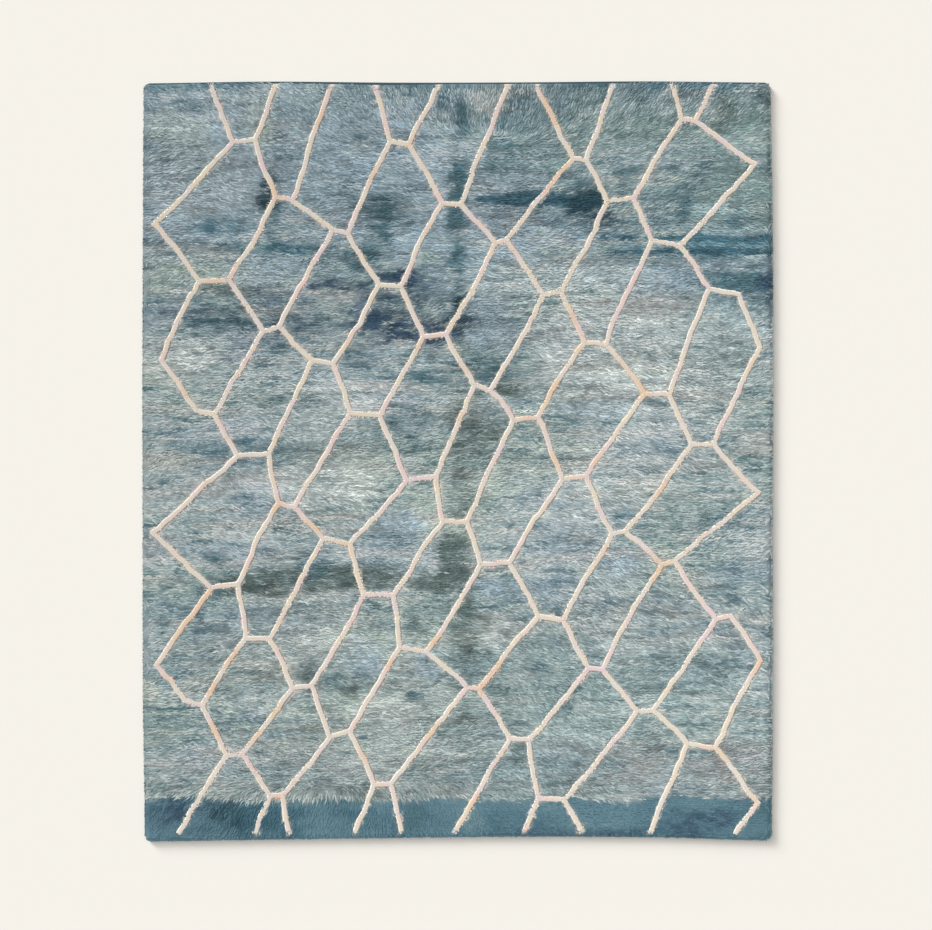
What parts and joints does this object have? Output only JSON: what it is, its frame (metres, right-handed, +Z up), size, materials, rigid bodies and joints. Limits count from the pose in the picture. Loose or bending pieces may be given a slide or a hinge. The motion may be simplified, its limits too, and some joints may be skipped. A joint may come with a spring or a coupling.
{
  "type": "mrirt rug",
  "caption": "Rectangular hand-knotted wool pile rug with a thick lumpy pile, a pale lozenge net over streaky blue-grey ground, a plain blue end band and a low woven edge.",
  "frame": {"origin": "middle of the flat underside, which lies on the floor", "axes": "+Z up, out of the pile; +Y along the rug to the end whose woven edge shows; +X across it, to the right of someone who looks down with that end away from them"},
  "size_m": [2.512, 3.0264, 0.027],
  "materials": {
    "wool_pile": "matte, plush wool pile"
  },
  "bodies": {
    "root": {"pile_rug": "wool_pile"}
  },
  "joints": []
}
